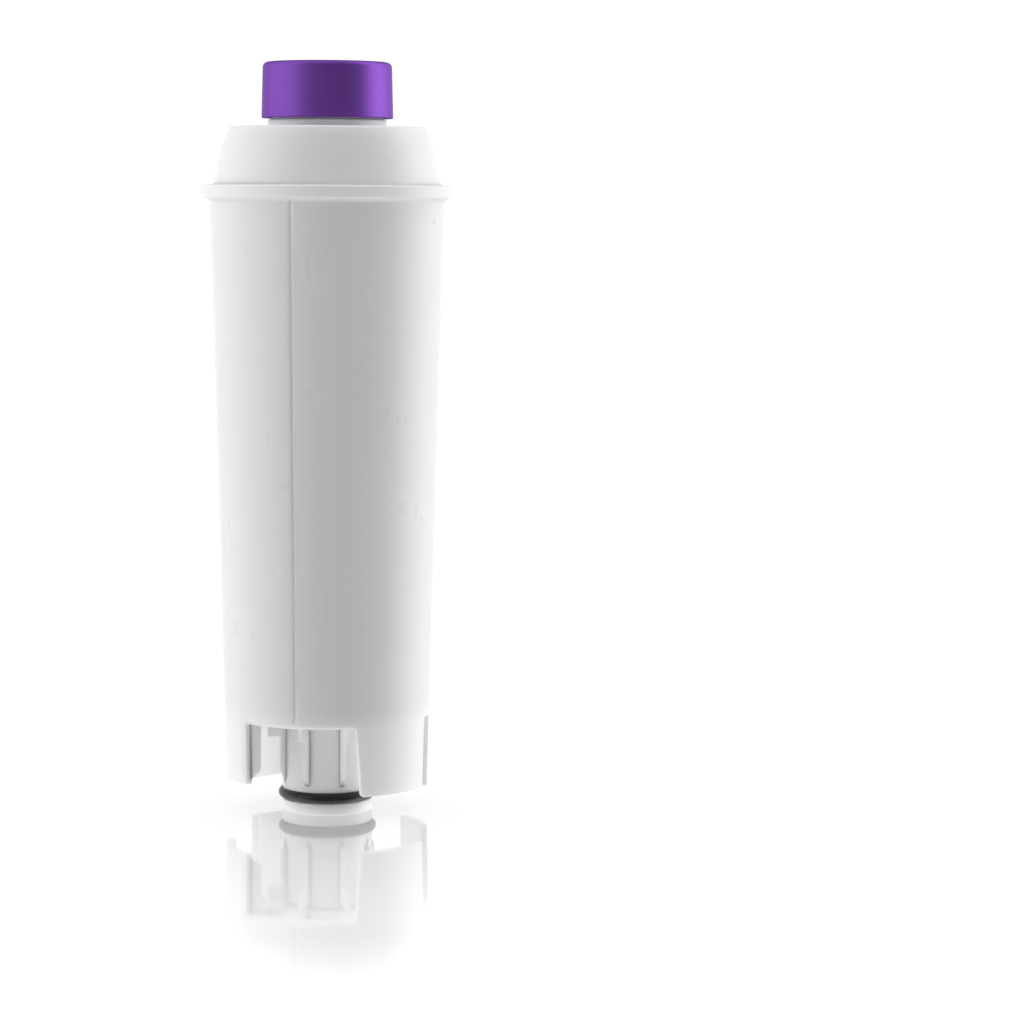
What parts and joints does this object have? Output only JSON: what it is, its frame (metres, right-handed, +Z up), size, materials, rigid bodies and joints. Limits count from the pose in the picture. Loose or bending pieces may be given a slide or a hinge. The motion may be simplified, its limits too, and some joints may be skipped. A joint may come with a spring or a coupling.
{
  "type": "water filter cartridge",
  "caption": "Tapered plug-in water filter cartridge with a rim, a screw cap on a threaded neck, a slotted skirt and a finned outlet spigot with an O-ring.",
  "frame": {"origin": "centre of the outlet spigot's foot, on the plane the cartridge stands on", "axes": "+Z up along the cartridge's axis, -Y to the front, +X to the right seen from the front"},
  "size_m": [0.056, 0.056, 0.165],
  "materials": {
    "white_plastic": "satin white polypropylene",
    "purple_plastic": "translucent tinted polypropylene, satin outside",
    "natural_plastic": "uncoloured polypropylene",
    "black_rubber": "moulded rubber, slightly greased",
    "silicone": "soft translucent silicone",
    "fleece": "non-woven filter fleece",
    "resin_beads": "packed amber resin beads",
    "carbon_granules": "packed black granules",
    "spring_steel": "drawn stainless wire"
  },
  "bodies": {
    "cartridge": {"housing": "white_plastic", "top_cover": "white_plastic", "outlet_spigot": "white_plastic", "outlet_o_ring": "black_rubber", "cover_seal": "black_rubber", "spigot_seal": "black_rubber", "tube_seal": "silicone", "inlet_screen": "fleece", "lower_grid": "natural_plastic", "lower_fleece": "fleece", "resin_bed": "resin_beads", "separator_fleece": "fleece", "carbon_bed": "carbon_granules", "upper_fleece": "fleece", "upper_grid": "natural_plastic", "central_tube": "natural_plastic", "tube_strainer": "natural_plastic", "valve_seat": "silicone", "valve_cage": "natural_plastic", "valve_spring": "spring_steel"},
    "cap_lift": {"cap_seal": "silicone"},
    "cap": {"screw_cap": "purple_plastic"},
    "valve": {"valve_poppet": "natural_plastic"}
  },
  "joints": [
    {"name": "cap_rise", "type": "slide", "parent": "cartridge", "child": "cap_lift", "axis": [0, 0, 1], "range_m": [0, 0.0053]},
    {"name": "cap_turn", "type": "hinge", "parent": "cap_lift", "child": "cap", "pos_m": [0, 0, 0.1534], "axis": [0, 0, 1], "range_deg": [0, 630]},
    {"name": "valve_stroke", "type": "slide", "parent": "cartridge", "child": "valve", "axis": [0, 0, -1], "range_m": [0, 0.0018], "stiffness_N_per_m": 40, "springref_m": -0.002, "deforming": ["valve_spring"]}
  ],
  "couplings": [
    {"joint": "cap_rise", "follows": "cap_turn", "m_per_rad": 0.00047746}
  ]
}
